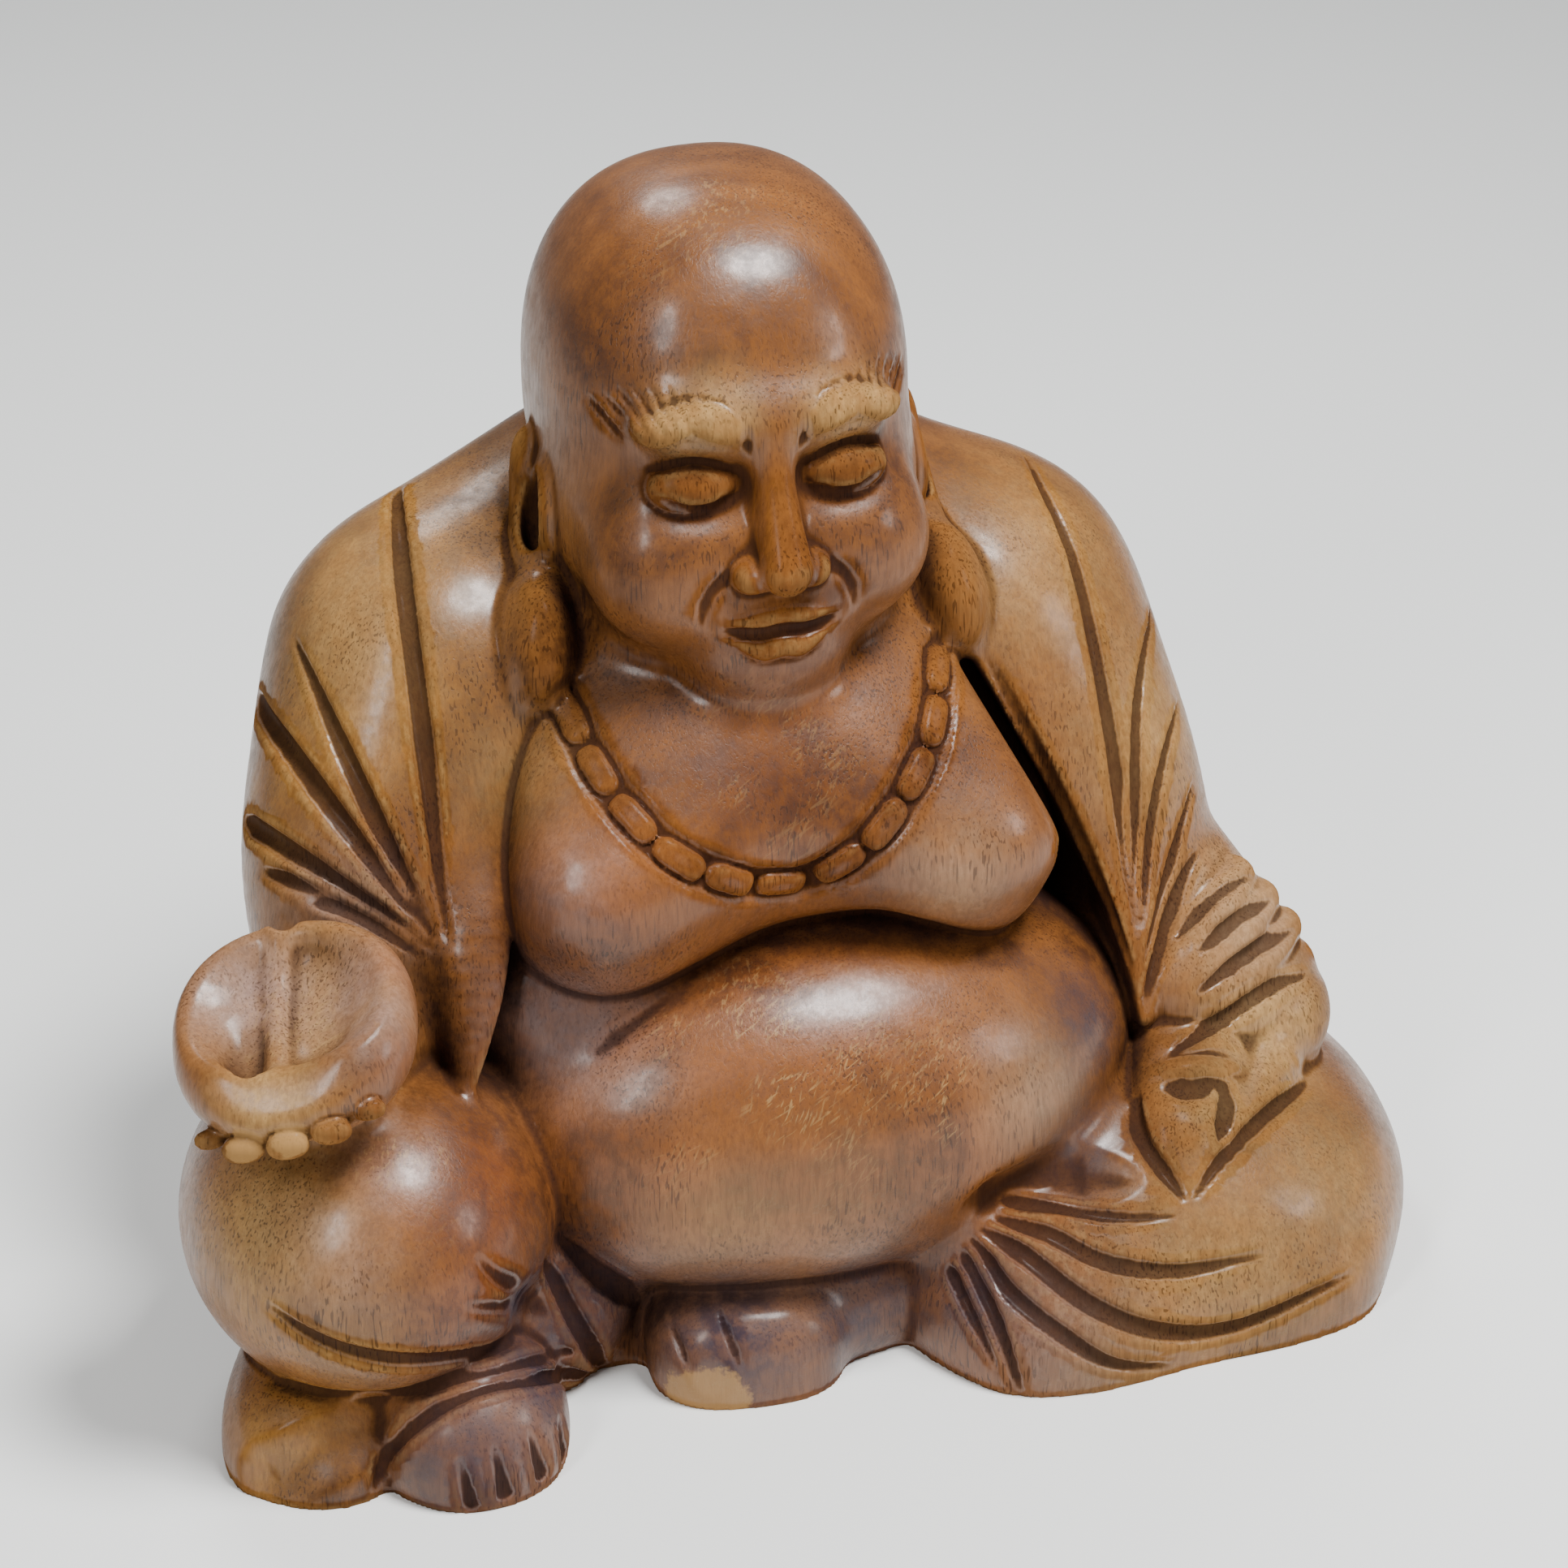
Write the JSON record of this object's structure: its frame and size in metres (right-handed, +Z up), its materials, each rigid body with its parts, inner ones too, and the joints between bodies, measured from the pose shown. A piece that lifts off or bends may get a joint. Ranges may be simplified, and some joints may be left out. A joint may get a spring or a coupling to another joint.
{
  "type": "budai figure",
  "caption": "Seated stout bald figure carved from one block of wood, in an open robe with a bead necklace, one knee raised, a dish in one hand and cloth in the other.",
  "frame": {"origin": "on the flat sawn underside, below the middle of the trunk", "axes": "+Z up from the underside, -Y the way the figure faces, +X toward the figure's own left"},
  "size_m": [0.333, 0.2164, 0.2999],
  "materials": {
    "carved_wood": "polished golden brown wood, dark stain left in the hollows, worn paler on the high places"
  },
  "bodies": {
    "root": {"budai_figure": "carved_wood"}
  },
  "joints": []
}
